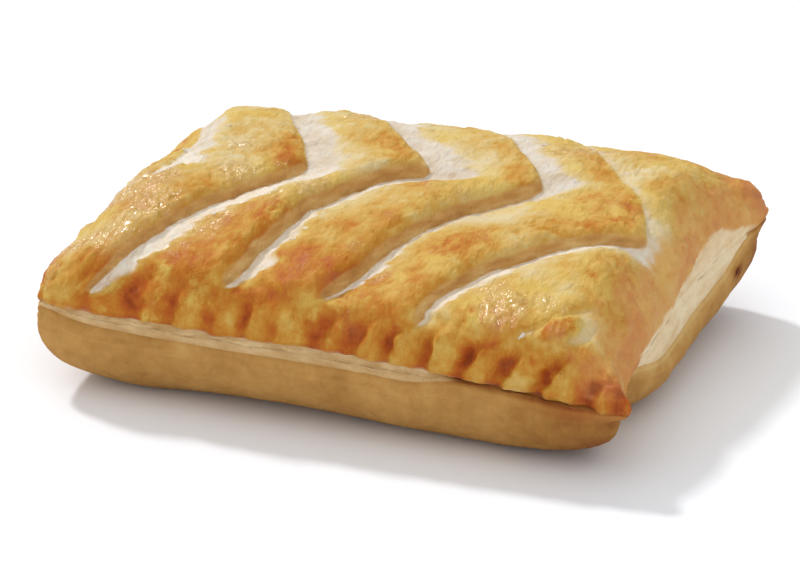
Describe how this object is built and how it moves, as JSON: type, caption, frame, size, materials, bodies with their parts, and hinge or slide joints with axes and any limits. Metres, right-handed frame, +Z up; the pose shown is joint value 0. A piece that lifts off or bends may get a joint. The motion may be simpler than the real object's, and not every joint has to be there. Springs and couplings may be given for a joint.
{
  "type": "rectangular puff pastry bake",
  "caption": "Rectangular glazed puff-pastry bake with a domed top cut by chevron slits, crimped long edges, a layered seam and a rounded base.",
  "frame": {"origin": "middle of the bounding box in plan, on the flat base", "axes": "+X along the length, the way the chevron slits point; +Y across the width, away from the edge the picture shows; +Z up"},
  "size_m": [0.1322, 0.1002, 0.0406],
  "materials": {
    "glazed_crust": "egg-glazed baked pastry, golden and browned, cream where it is unglazed"
  },
  "bodies": {
    "root": {"pastry": "glazed_crust"}
  },
  "joints": []
}
